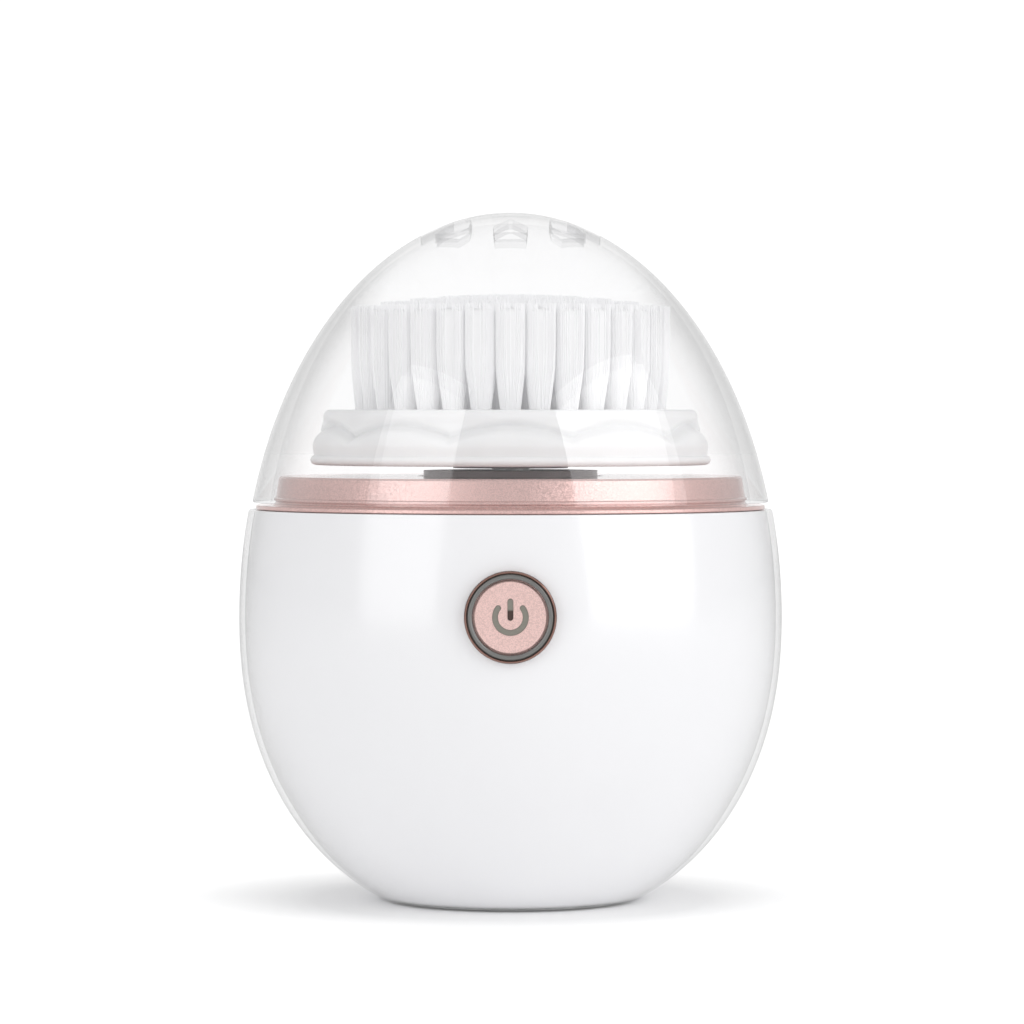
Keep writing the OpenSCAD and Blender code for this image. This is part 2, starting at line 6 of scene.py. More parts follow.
import bpy
import numpy as np
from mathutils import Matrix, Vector


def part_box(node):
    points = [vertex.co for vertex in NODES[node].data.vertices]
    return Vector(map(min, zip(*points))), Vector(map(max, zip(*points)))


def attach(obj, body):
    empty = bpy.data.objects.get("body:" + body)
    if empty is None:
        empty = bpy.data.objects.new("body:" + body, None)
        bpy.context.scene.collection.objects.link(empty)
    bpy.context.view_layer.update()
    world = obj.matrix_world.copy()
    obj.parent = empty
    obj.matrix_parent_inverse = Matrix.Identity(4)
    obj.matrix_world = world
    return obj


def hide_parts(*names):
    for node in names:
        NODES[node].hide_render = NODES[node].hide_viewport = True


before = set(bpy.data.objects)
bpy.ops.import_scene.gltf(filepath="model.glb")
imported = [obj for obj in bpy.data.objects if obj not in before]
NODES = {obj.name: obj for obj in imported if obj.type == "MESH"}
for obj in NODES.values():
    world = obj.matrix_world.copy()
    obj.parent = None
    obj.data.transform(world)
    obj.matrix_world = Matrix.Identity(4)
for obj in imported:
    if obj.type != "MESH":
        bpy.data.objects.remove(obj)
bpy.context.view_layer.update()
MM = 0.001
rng = random.Random(20)


def box_mm(node):
    low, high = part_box(node)
    return [c / MM for c in low], [c / MM for c in high]


# ---------------------------------------------------------------- sizes, as the CAD has them
SHELL_LOW, SHELL_HIGH = box_mm("outer_shell")
LID_LOW, LID_HIGH = box_mm("lid")
CARRIER_LOW, CARRIER_HIGH = box_mm("brush_carrier")
TRIM_LOW, TRIM_HIGH = box_mm("button_trim")

WAIST_R = SHELL_HIGH[0]
WAIST_Z = 37.5
KEEL_DEPTH = 41.25
CROWN_HEIGHT = LID_HIGH[2] - WAIST_Z
POWER = 2.2
RIM_Z = SHELL_HIGH[2]
SKIN_T = 0.8
INNER_INSET = 0.86
CAVITY_INSET = 2.66
HOLE_R = (TRIM_HIGH[0] - TRIM_LOW[0]) / 2 + 0.05
HOLE_Z = (TRIM_HIGH[2] + TRIM_LOW[2]) / 2
SEGMENTS = 256


# ---------------------------------------------------------------- mesh making
class Build:
    """Collects rings of points, in millimetres, and the faces between them."""

    def __init__(self):
        self.points = []
        self.faces = []

    def point(self, x, y, z):
        self.points.append((x, y, z))
        return len(self.points) - 1

    def ring(self, r, z, count=SEGMENTS):
        return [
            self.point(r * math.cos(2 * math.pi * i / count), r * math.sin(2 * math.pi * i / count), z)
            for i in range(count)
        ]

    def turned(self, r, side, turn, z):
        """A point at a radius and a step sideways from it, on the line at an angle in degrees."""
        a = math.radians(turn)
        return self.point(r * math.cos(a) - side * math.sin(a), r * math.sin(a) + side * math.cos(a), z)

    def bridge(self, a, b, skip=()):
        count = len(a)
        for i in range(count):
            if i not in skip:
                k = (i + 1) % count
                self.faces.append((a[i], a[k], b[k], b[i]))

    def stack(self, last, rings):
        """Bridges each ring to the one before it, and gives the last."""
        for ring in rings:
            self.bridge(last, ring)
            last = ring
        return last

    def fan(self, ring, tip, up=True):
        for i, a in enumerate(ring):
            b = ring[(i + 1) % len(ring)]
            self.faces.append((a, b, tip) if up else (b, a, tip))

    def object(self, name, sharp_deg=35):
        mesh = bpy.data.meshes.new(name)
        mesh.from_pydata([(x * MM, y * MM, z * MM) for x, y, z in self.points], [], self.faces)
        mesh.validate()
        return shaded(name, mesh, sharp_deg)


def shaded(name, mesh, sharp_deg=35):
    mesh.polygons.foreach_set("use_smooth", [True] * len(mesh.polygons))
    if sharp_deg:
        mesh.set_sharp_from_angle(angle=math.radians(sharp_deg))
    mesh.update()
    made = bpy.data.objects.new(name, mesh)
    bpy.context.scene.collection.objects.link(made)
    return made


def smooth(low, high, value):
    t = min(1.0, max(0.0, (value - low) / (high - low)))
    return t * t * (3 - 2 * t)


def egg_r(z, inset):
    """Radius of the egg's side at a height, for a surface set in from the outside."""
    if callable(inset):
        inset = inset(z)
    if z < WAIST_Z:
        s = min(1.0, ((WAIST_Z - z) / (KEEL_DEPTH - inset)) ** (POWER / 2))
        return (WAIST_R - inset) * math.sqrt(1 - s * s) ** (2 / POWER)
    s = (z - WAIST_Z) / (CROWN_HEIGHT - inset)
    return (WAIST_R - inset) * math.sqrt(1 - s * s)


# The button's hole sits in a square patch of the side: half its width, its cells, and the rows below and above it.
PATCH_HALF = 8.0
PATCH_CELLS = 18
PATCH_LOW = 36
PATCH_HIGH = 6
HOLE_STEPS = 6


def side_heights(low_z, high_z):
    """Heights up the side. The middle ones frame the button with as many rows as columns."""
    angle = math.asin(((WAIST_Z - low_z) / KEEL_DEPTH) ** (POWER / 2))
    patch_z = HOLE_Z - PATCH_HALF
    patch_angle = math.asin(((WAIST_Z - patch_z) / KEEL_DEPTH) ** (POWER / 2))
    rows = []
    for i in range(PATCH_LOW):
        a = angle + (patch_angle - angle) * i / PATCH_LOW
        rows.append(WAIST_Z - KEEL_DEPTH * math.sin(a) ** (2 / POWER))
    rows += [patch_z + 2 * PATCH_HALF * i / PATCH_CELLS for i in range(PATCH_CELLS)]
    top = HOLE_Z + PATCH_HALF
    rows += [top + (high_z - top) * i / PATCH_HIGH for i in range(PATCH_HIGH + 1)]
    rows[0] = low_z
    return rows


def side_rings(build, rows, inset):
    return [build.ring(egg_r(z, inset), z) for z in rows]


def holed_side(build, rings, rows, inset, downward):
    """Joins the rings into a surface with a round hole for the button, and gives the hole's edge."""
    half = PATCH_CELLS // 2
    first = SEGMENTS * 3 // 4 - half
    columns = [(first + i) % SEGMENTS for i in range(PATCH_CELLS + 1)]
    low = PATCH_HIGH if downward else PATCH_LOW
    high = low + PATCH_CELLS
    for i in range(len(rings) - 1):
        build.bridge(rings[i], rings[i + 1], skip=set(columns[:-1]) if low <= i < high else ())
    edge = [rings[low][c] for c in columns[:-1]]
    edge += [rings[i][columns[-1]] for i in range(low, high)]
    edge += [rings[high][c] for c in reversed(columns[1:])]
    edge += [rings[i][columns[0]] for i in range(high, low, -1)]
    count = len(edge)
    start, turn = (135, -360) if downward else (225, 360)
    last = edge
    for k in range(1, HOLE_STEPS + 1):
        t = k / HOLE_STEPS
        loop = []
        for i, e in enumerate(edge):
            a = math.radians(start + turn * i / count)
            x0, _, z0 = build.points[e]
            x = x0 + (HOLE_R * math.cos(a) - x0) * t
            z = z0 + (HOLE_Z + HOLE_R * math.sin(a) - z0) * t
            loop.append(build.point(x, -math.sqrt(egg_r(z, inset) ** 2 - x * x), z))
        for i in range(count):
            j = (i + 1) % count
            build.faces.append((last[i], last[j], loop[j], loop[i]))
        last = loop
    return last


def hole_wall(build, outer, inner):
    """Joins the hole's edge on the outside to its edge on the inside, which runs the other way round."""
    count = len(outer)
    match = [inner[(count // 4 * 3 - i) % count] for i in range(count)]
    for i in range(count):
        j = (i + 1) % count
        build.faces.append((outer[i], outer[j], match[j], match[i]))


def rounded(centre_r, centre_z, r, start, end, steps):
    """Points (radius, height) on an arc between two angles in degrees, for a rounded edge."""
    return [
        (
            centre_r + r * math.cos(math.radians(start + (end - start) * i / steps)),
            centre_z + r * math.sin(math.radians(start + (end - start) * i / steps)),
        )
        for i in range(steps + 1)
    ]


def tapered(inset):
    """An inset that shrinks towards the foot, so that the white shell shows right down to it."""
    return lambda z: inset * (0.3 + 0.7 * smooth(0, 14, z))


def make_skin():
    build = Build()
    rim, foot_r, floor_z = 0.25, 16.05, 0.3
    rows = side_heights(SHELL_LOW[2], RIM_Z - rim)
    outer = side_rings(build, rows, 0)
    outer_hole = holed_side(build, outer, rows, 0, False)
    rim_r = egg_r(RIM_Z - rim, 0)
    edge = rounded(rim_r - rim, RIM_Z - rim, rim, 15, 90, 5)
    last = build.stack(outer[-1], [build.ring(r, z) for r, z in edge])
    rows = list(reversed(side_heights(floor_z, RIM_Z)))
    inner = side_rings(build, rows, tapered(SKIN_T))
    build.bridge(last, inner[0])
    inner_hole = holed_side(build, inner, rows, tapered(SKIN_T), True)
    hole_wall(build, outer_hole, inner_hole)
    build.stack(inner[-1], [build.ring(foot_r, floor_z), build.ring(foot_r, SHELL_LOW[2]), outer[0]])
    return build.object("handset_skin")


def make_shell():
    build = Build()
    floor_z, cavity_z, rim_z = 0.35, 3.0, RIM_Z - 0.05
    pad_z, pad_r = 1.05, 16.35
    rows = side_heights(floor_z, rim_z)
    outer = side_rings(build, rows, tapered(INNER_INSET))
    outer_hole = holed_side(build, outer, rows, tapered(INNER_INSET), False)
    rows = list(reversed(side_heights(cavity_z, rim_z)))
    inner = side_rings(build, rows, CAVITY_INSET)
    build.bridge(outer[-1], inner[0])
    inner_hole = holed_side(build, inner, rows, CAVITY_INSET, True)
    hole_wall(build, outer_hole, inner_hole)
    build.fan(inner[-1], build.point(0, 0, cavity_z))
    low_out, low_in = build.ring(pad_r, floor_z), build.ring(pad_r, pad_z)
    build.bridge(low_out, outer[0])
    build.bridge(low_in, low_out)
    build.fan(low_in, build.point(0, 0, pad_z), up=False)
    return build.object("handset_shell")


# ---------------------------------------------------------------- the cap
LID_WAIST_R = 35.7
CAVITY_R = 33.0
CAVITY_HEIGHT = 52.0
CAVITY_POWER = 2.15
LID_Z = LID_LOW[2]
VENTS = 8
VENT_R = 9.65
VENT_HALF = 2.26
VENT_Z = (84, 94)
LUG_TURNS = (239, 359, 119)


def vent_prism(turn):
    """A house-shaped column that cuts one vent, its roof towards the middle."""
    foot = VENT_HALF - 0.16
    outline = [(2.2, -foot), (2.2, foot), (0.35, VENT_HALF), (-2.15, 0.25), (-2.15, -0.25), (0.35, -VENT_HALF)]
    build = Build()
    low, high = [], []
    for x, y in outline:
        low.append(build.turned(VENT_R + x, y, turn, VENT_Z[0]))
        high.append(build.turned(VENT_R + x, y, turn, VENT_Z[1]))
    build.bridge(low, high)
    build.faces.append(tuple(high))
    build.faces.append(tuple(reversed(low)))
    return build.object("cutter", 0)


def lug_block(turn):
    """A small lug inside the skirt, with its corners taken off."""
    build = Build()
    rings = []
    for r, half, z0, z1 in ((32.9, 1.8, 53.1, 54.4), (31.7, 1.8, 53.1, 54.4), (31.55, 1.65, 53.25, 54.25)):
        rings.append([build.turned(r, y, turn, z) for y, z in ((-half, z0), (half, z0), (half, z1), (-half, z1))])
    for a, b in zip(rings, rings[1:]):
        build.bridge(b, a)
    build.faces.append(tuple(rings[0]))
    build.faces.append(tuple(reversed(rings[-1])))
    return build.object("lug", 0)


def combine(target, others, operation):
    """Cuts or joins the other meshes into the target, and removes them."""
    for other in others:
        step = target.modifiers.new("step", "BOOLEAN")
        step.operation, step.solver, step.object = operation, "EXACT", other
    graph = bpy.context.evaluated_depsgraph_get()
    mesh = bpy.data.meshes.new_from_object(target.evaluated_get(graph))
    target.modifiers.clear()
    old, target.data = target.data, mesh
    bpy.data.meshes.remove(old)
    for other in others:
        bpy.data.objects.remove(other)


def true_normals(made, surfaces):
    """Gives faces on a curved surface its exact normals, so that glass and gloss show no facets.
    Each surface is (a, b, power, side): radius, height above the waist, curve and which way it faces."""
    mesh = made.data
    normals = np.zeros(len(mesh.loops) * 3)
    mesh.corner_normals.foreach_get("vector", normals)
    normals = normals.reshape(-1, 3)
    points = np.zeros(len(mesh.vertices) * 3)
    mesh.vertices.foreach_get("co", points)
    points = points.reshape(-1, 3) / MM
    for face in mesh.polygons:
        corners = points[[mesh.loops[i].vertex_index for i in face.loop_indices]]
        for a, b, power, side in surfaces:
            r = np.hypot(corners[:, 0], corners[:, 1])
            h = np.maximum(corners[:, 2] - WAIST_Z, 0)
            value = (r / a) ** power + (h / b) ** power
            if np.abs(value - 1).max() > 0.004:
                continue
            slope = power * np.maximum(r, 1e-6) ** (power - 2) / a ** power
            n = np.stack(
                [corners[:, 0] * slope, corners[:, 1] * slope, power * h ** (power - 1) / b ** power], 1
            )
            n *= side / np.linalg.norm(n, axis=1)[:, None]
            flat = np.array(face.normal)
            if (n @ flat).min() > 0.9:
                for k, i in enumerate(face.loop_indices):
                    normals[i] = n[k]
                break
    mesh.normals_split_custom_set([tuple(n) for n in normals])


def make_cap():
    build = Build()
    steps = 64
    low = math.asin((LID_Z + 0.4 - WAIST_Z) / CROWN_HEIGHT)
    skirt = math.asin(((LID_Z - WAIST_Z) / CAVITY_HEIGHT) ** (CAVITY_POWER / 2))
    start = build.ring(CAVITY_R * math.cos(skirt) ** (2 / CAVITY_POWER), LID_Z)
    hem = ((33.9, LID_Z), (34.05, LID_Z + 0.03), (34.15, LID_Z + 0.12))
    last = build.stack(start, [build.ring(r, z) for r, z in hem])
    angles = [low + (math.pi / 2 - low) * (1 - (1 - i / steps) ** 1.15) for i in range(steps)]
    crown = [build.ring(LID_WAIST_R * math.cos(a), WAIST_Z + CROWN_HEIGHT * math.sin(a)) for a in angles]
    build.fan(build.stack(last, crown), build.point(0, 0, WAIST_Z + CROWN_HEIGHT))
    angles = [math.pi / 2 - (math.pi / 2 - skirt) * (i / steps) ** 1.1 for i in range(1, steps)]
    hollow = (
        build.ring(
            CAVITY_R * math.cos(a) ** (2 / CAVITY_POWER),
            WAIST_Z + CAVITY_HEIGHT * math.sin(a) ** (2 / CAVITY_POWER),
        )
        for a in angles
    )
    first = next(hollow)
    build.fan(first, build.point(0, 0, WAIST_Z + CAVITY_HEIGHT), up=False)
    build.bridge(build.stack(first, hollow), start)
    cap = build.object("cap_dome")
    combine(cap, [lug_block(turn) for turn in LUG_TURNS], "UNION")
    combine(cap, [vent_prism(270 + 360 * i / VENTS) for i in range(VENTS)], "DIFFERENCE")
    cap.data.polygons.foreach_set("use_smooth", [True] * len(cap.data.polygons))
    cap.data.set_sharp_from_angle(angle=math.radians(35))
    true_normals(cap, [(LID_WAIST_R, CROWN_HEIGHT, 2.0, 1), (CAVITY_R, CAVITY_HEIGHT, CAVITY_POWER, -1)])
    return cap


def sort_cap_faces(cap):
    """Of the cap's three finishes, the first is for its outside, then its inside, then the walls of its vents."""
    for face in cap.data.polygons:
        x, y, z = (c / MM for c in face.center)
        out = face.normal.x * x + face.normal.y * y + face.normal.z * (z - WAIST_Z)
        if abs(face.normal.z) < 0.2 and z > VENT_Z[0]:
            face.material_index = 2
        elif out < 0:
            face.material_index = 1


# ---------------------------------------------------------------- the brush head
PETALS = 10
CARRIER_R = 26.55
CARRIER_SEGMENTS = 400
PETAL_Z = 58.85
EDGE_R = 0.95
SOCKET_HALF = 4.55
SOCKET_Z = (58.8, 62.75)
HOLLOW_Z = 61.4
OUTER_RING_R = 19.3
# Each ring of tufts: its radius, its number of tufts and where it starts, in degrees.
TUFT_RINGS = {
    "bristles_outer": [(OUTER_RING_R, 32, 0)],
    "bristles_middle": [(15.4, 26, 5), (11.5, 19, 0)],
    "bristles_inner": [(7.6, 12, 8), (3.9, 6, 0), (0, 1, 0)],
}


def carrier_side(z, turn):
    """Radius of the carrier's side: it widens downwards, with a soft wavy step where the petals end."""
    step = 360 / PETALS
    off = (turn - 270 + step / 2) % step - step / 2
    across = 23 * math.sin(math.radians(off))
    crest = 45.2 + math.sqrt(17 ** 2 - across ** 2)
    side = 26.25 - 1.75 * max(0.0, (z - 60.2) / 4.7) ** 1.35 - 0.15 * (1 - smooth(58.8, 60.2, z))
    side -= 0.85 * math.exp(-(((z - crest - 0.55) / 0.62) ** 2))
    side -= 0.45 * smooth(crest, crest + 0.8, z) * (1 - smooth(CARRIER_HIGH[2] - 1.9, CARRIER_HIGH[2] - 0.5, z))
    return side


def make_carrier():
    build = Build()
    turns = [2 * math.pi * i / CARRIER_SEGMENTS for i in range(CARRIER_SEGMENTS)]
    degrees = [360 * i / CARRIER_SEGMENTS for i in range(CARRIER_SEGMENTS)]
    z0, z1 = CARRIER_LOW[2], CARRIER_HIGH[2]

    def shaped(reach, z):
        """A ring with its own reach at each turn."""
        return [build.point(r * math.cos(a), r * math.sin(a), z) for r, a in zip(reach, turns)]

    def plain(outline):
        return [build.ring(r, z, CARRIER_SEGMENTS) for r, z in outline]

    flange = plain([
        (24.0, z0), (25.9, z0), (26.2, z0 + 0.08), (26.42, z0 + 0.26), (CARRIER_R, z0 + 0.55),
        (CARRIER_R, 58.35), (26.5, 58.55), (26.36, 58.72),
    ])
    last = build.stack(flange[0], flange[1:])
    rows = 44
    heights = [PETAL_Z + (z1 - EDGE_R - PETAL_Z) * i / rows for i in range(rows + 1)]
    last = build.stack(last, [shaped([carrier_side(z, turn) for turn in degrees], z) for z in heights])
    top = [carrier_side(z1 - EDGE_R, turn) for turn in degrees]
    for k in range(1, 8):
        a = math.radians(90 * k / 7)
        ring = shaped([r - EDGE_R * (1 - math.cos(a)) for r in top], z1 - EDGE_R + EDGE_R * math.sin(a))
        last = build.stack(last, [ring])
    build.fan(last, build.point(0, 0, z1))
    square = [SOCKET_HALF / max(abs(math.cos(a)), abs(math.sin(a))) for a in turns]
    socket_low, socket_high = SOCKET_Z
    roof = shaped(square, socket_high)
    build.fan(roof, build.point(0, 0, socket_high), up=False)
    hollow = [shaped(square, socket_low)] + plain([
        (7.7, socket_low), (7.9, 59.0), (7.9, HOLLOW_Z - 0.2), (8.1, HOLLOW_Z), (23.2, HOLLOW_Z),
        (23.4, HOLLOW_Z - 0.2),
    ])
    build.stack(roof, hollow + [flange[0]])
    return build.object("carrier_petals", 40)


def tuft_spots(rings):
    """Each tuft's ring radius, place and direction from the middle."""
    for ring_r, count, start in rings:
        for i in range(count):
            a = math.radians(start + 360 * i / count)
            yield ring_r, ring_r * math.cos(a), ring_r * math.sin(a), a


def tuft_point(t, share, angle, wide, deep):
    """Steps out from the axis and along the ring, at a share of the tuft's height and of its width.
    A tuft is round at its foot, and fills out to meet its neighbours higher up."""
    flare = math.sin(math.pi / 2 * min(1.0, t / 0.52) ** 1.2) * 0.94 + 0.06 * t
    square = 1 - 0.4 * flare
    u = math.copysign(abs(math.cos(angle)) ** square, math.cos(angle))
    v = math.copysign(abs(math.sin(angle)) ** square, math.sin(angle))
    foot = 1.22
    return share * u * (foot + (deep - foot) * flare), share * v * (foot + (wide - foot) * flare)


FILAMENT_SIDES, FILAMENT_LEVELS, FILAMENT_R = 5, 6, 0.09
CORE_SIDES, CORE_LEVELS = 20, 10
CORE_SHORT = 0.7
TUFT_DEEP = 1.8


def make_bristles(name, rings, outer_count, tip_count):
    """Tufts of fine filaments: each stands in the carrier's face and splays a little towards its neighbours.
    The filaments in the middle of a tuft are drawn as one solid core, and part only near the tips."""
    golden = math.pi * (3 - math.sqrt(5))
    base_z = CARRIER_HIGH[2] - 0.25
    points, faces = [], []

    def close(first, count, up):
        faces.append(tuple(range(first, first + count)) if up else tuple(range(first + count - 1, first - 1, -1)))

    def join(first, count):
        for s in range(count):
            k = (s + 1) % count
            faces.append((first + s, first + k, first + count + k, first + count + s))

    for ring_r, cx, cy, turn in tuft_spots(rings):
        tip_z = 80.2 - 1.6 * (ring_r / OUTER_RING_R) ** 2
        out = Vector((math.cos(turn), math.sin(turn), 0))
        along = Vector((-math.sin(turn), math.cos(turn), 0))
        centre = Vector((cx, cy, 0))
        wide = 1.95 if ring_r > 10 else 1.9
        core_top = tip_z - CORE_SHORT
        start = len(points)
        for level in range(CORE_LEVELS):
            last = level == CORE_LEVELS - 1
            t = 1.0 if last else level / (CORE_LEVELS - 2)
            z = base_z + (core_top - 0.35 - base_z) * t + (0.35 if last else 0)
            share = 0.75 if last else 0.98
            for s in range(CORE_SIDES):
                a = 2 * math.pi * (s + 0.5) / CORE_SIDES
                u, v = tuft_point((z - base_z) / (tip_z - base_z), share, a, wide, TUFT_DEEP)
                p = centre + out * u + along * v
                points.append((p.x * MM, p.y * MM, z * MM))
        for level in range(CORE_LEVELS - 1):
            join(start + level * CORE_SIDES, CORE_SIDES)
        close(start + (CORE_LEVELS - 1) * CORE_SIDES, CORE_SIDES, True)
        close(start, CORE_SIDES, False)
        for n in range(outer_count + tip_count):
            if n < outer_count:
                a, share, low = 2 * math.pi * n / outer_count + rng.uniform(-0.04, 0.04), 1.0, base_z
            else:
                share = 0.94 * math.sqrt((n - outer_count + 0.5) / tip_count)
                a, low = (n - outer_count) * golden + rng.uniform(-0.25, 0.25), core_top - 1.2
            top = tip_z - rng.uniform(0.0, 0.16)
            bend = rng.uniform(-0.04, 0.04)
            first = len(points)
            for level in range(FILAMENT_LEVELS):
                z = low + (top - low) * level / (FILAMENT_LEVELS - 1)
                t = (z - base_z) / (tip_z - base_z)
                u, v = tuft_point(t, share, a, wide, TUFT_DEEP)
                middle = centre + out * u + along * (v + bend * math.sin(math.pi * t))
                r = FILAMENT_R * (1 - 0.25 * t)
                for s in range(FILAMENT_SIDES):
                    b = 2 * math.pi * s / FILAMENT_SIDES + a
                    points.append(((middle.x + r * math.cos(b)) * MM, (middle.y + r * math.sin(b)) * MM, z * MM))
            for level in range(FILAMENT_LEVELS - 1):
                join(first + level * FILAMENT_SIDES, FILAMENT_SIDES)
            close(first + (FILAMENT_LEVELS - 1) * FILAMENT_SIDES, FILAMENT_SIDES, True)
            close(first, FILAMENT_SIDES, False)
    mesh = bpy.data.meshes.new(name)
    mesh.from_pydata(points, [], faces)
    return shaded(name, mesh, 50)


# ---------------------------------------------------------------- materials
def new_material(name):
    made = bpy.data.materials.new(name)
    made.use_nodes = True
    tree = made.node_tree
    tree.nodes.clear()
    out = tree.nodes.new("ShaderNodeOutputMaterial")
    shader = tree.nodes.new("ShaderNodeBsdfPrincipled")
    tree.links.new(shader.outputs[0], out.inputs["Surface"])
    return made, tree, shader, out


def add(tree, kind, **values):
    node = tree.nodes.new(kind)
    for key, value in values.items():
        if key in node.inputs:
            node.inputs[key].default_value = value
        else:
            setattr(node, key, value)
    return node


def maths(tree, operation, first, second=None):
    """One step of arithmetic on sockets. The second value may be a plain number."""
    node = add(tree, "ShaderNodeMath", operation=operation)
    tree.links.new(first, node.inputs[0])
    if isinstance(second, float):
        node.inputs[1].default_value = second
    elif second is not None:
        tree.links.new(second, node.inputs[1])
    return node.outputs[0]


def place(tree, source="Object"):
    """The three coordinates of a point, as sockets."""
    where = add(tree, "ShaderNodeTexCoord")
    split = add(tree, "ShaderNodeSeparateXYZ")
    tree.links.new(where.outputs[source], split.inputs[0])
    return split.outputs


def noise(tree, scale, detail=3.0, rough=0.55, stretch=None):
    where = add(tree, "ShaderNodeTexCoord")
    source = where.outputs["Object"]
    if stretch:
        turned = add(tree, "ShaderNodeMapping")
        turned.inputs["Scale"].default_value = stretch
        tree.links.new(source, turned.inputs["Vector"])
        source = turned.outputs[0]
    made = add(tree, "ShaderNodeTexNoise", Scale=scale, Detail=detail, Roughness=rough)
    tree.links.new(source, made.inputs["Vector"])
    return made.outputs["Fac"]


def remap(tree, value, low, high, from_low=0.3, from_high=0.7):
    node = add(tree, "ShaderNodeMapRange")
    node.inputs["From Min"].default_value = from_low
    node.inputs["From Max"].default_value = from_high
    node.inputs["To Min"].default_value = low
    node.inputs["To Max"].default_value = high
    tree.links.new(value, node.inputs["Value"])
    return node.outputs[0]


def shades(tree, value, dark, light):
    ramp = add(tree, "ShaderNodeValToRGB")
    ramp.color_ramp.elements[0].position = 0.3
    ramp.color_ramp.elements[0].color = (*dark, 1)
    ramp.color_ramp.elements[1].position = 0.7
    ramp.color_ramp.elements[1].color = (*light, 1)
    tree.links.new(value, ramp.inputs[0])
    return ramp.outputs[0]


def bump(tree, shader, value, depth_mm):
    node = add(tree, "ShaderNodeBump", Strength=1.0, Distance=depth_mm * MM)
    tree.links.new(value, node.inputs["Height"])
    tree.links.new(node.outputs[0], shader.inputs["Normal"])


def moulded(name, colour, rough, spread=0.05, vary=0.04, grain=1500, depth=0.004, metal=0.0, coat=0.0,
            stretch=None, **sockets):
    """A finish with fine colour variation, uneven gloss and a shallow grain, from noise in the part's own space."""
    made, tree, shader, _ = new_material(name)
    cloud = noise(tree, grain * 0.12, 4, stretch=stretch)
    fine = noise(tree, grain, 3, stretch=stretch)
    dark = [c * (1 - vary) for c in colour]
    light = [min(1, c * (1 + vary)) for c in colour]
    tree.links.new(shades(tree, cloud, dark, light), shader.inputs["Base Color"])
    tree.links.new(remap(tree, cloud, rough - spread, rough + spread), shader.inputs["Roughness"])
    bump(tree, shader, fine, depth)
    shader.inputs["Metallic"].default_value = metal
    shader.inputs["Coat Weight"].default_value = coat
    shader.inputs["Coat Roughness"].default_value = 0.04
    for key, value in sockets.items():
        shader.inputs[key.replace("_", " ")].default_value = value
    return made


def flaked(name, colour, rough, flake, tilt, coat=0.0):
    """Metallic lacquer: each fine flake leans its own way, so the surface sparkles."""
    made, tree, shader, _ = new_material(name)
    where = add(tree, "ShaderNodeTexCoord")
    cells = add(tree, "ShaderNodeTexVoronoi", Scale=flake)
    tree.links.new(where.outputs["Object"], cells.inputs["Vector"])
    centred = add(tree, "ShaderNodeVectorMath", operation="SUBTRACT")
    centred.inputs[1].default_value = (0.5, 0.5, 0.5)
    tree.links.new(cells.outputs["Color"], centred.inputs[0])
    scaled = add(tree, "ShaderNodeVectorMath", operation="SCALE")
    scaled.inputs["Scale"].default_value = tilt * 2
    tree.links.new(centred.outputs[0], scaled.inputs[0])
    surface = add(tree, "ShaderNodeNewGeometry")
    leaned = add(tree, "ShaderNodeVectorMath", operation="ADD")
    tree.links.new(surface.outputs["Normal"], leaned.inputs[0])
    tree.links.new(scaled.outputs[0], leaned.inputs[1])
    unit = add(tree, "ShaderNodeVectorMath", operation="NORMALIZE")
    tree.links.new(leaned.outputs[0], unit.inputs[0])
    tree.links.new(unit.outputs[0], shader.inputs["Normal"])
    split = add(tree, "ShaderNodeSeparateColor")
    tree.links.new(cells.outputs["Color"], split.inputs[0])
    dark = [c * 0.9 for c in colour]
    light = [min(1, c * 1.1) for c in colour]
    tree.links.new(shades(tree, split.outputs[0], dark, light), shader.inputs["Base Color"])
    cloud = noise(tree, 180, 4)
    tree.links.new(remap(tree, cloud, rough - 0.04, rough + 0.04), shader.inputs["Roughness"])
    shader.inputs["Metallic"].default_value = 0.85
    shader.inputs["Coat Weight"].default_value = coat
    shader.inputs["Coat Roughness"].default_value = 0.03
    return made


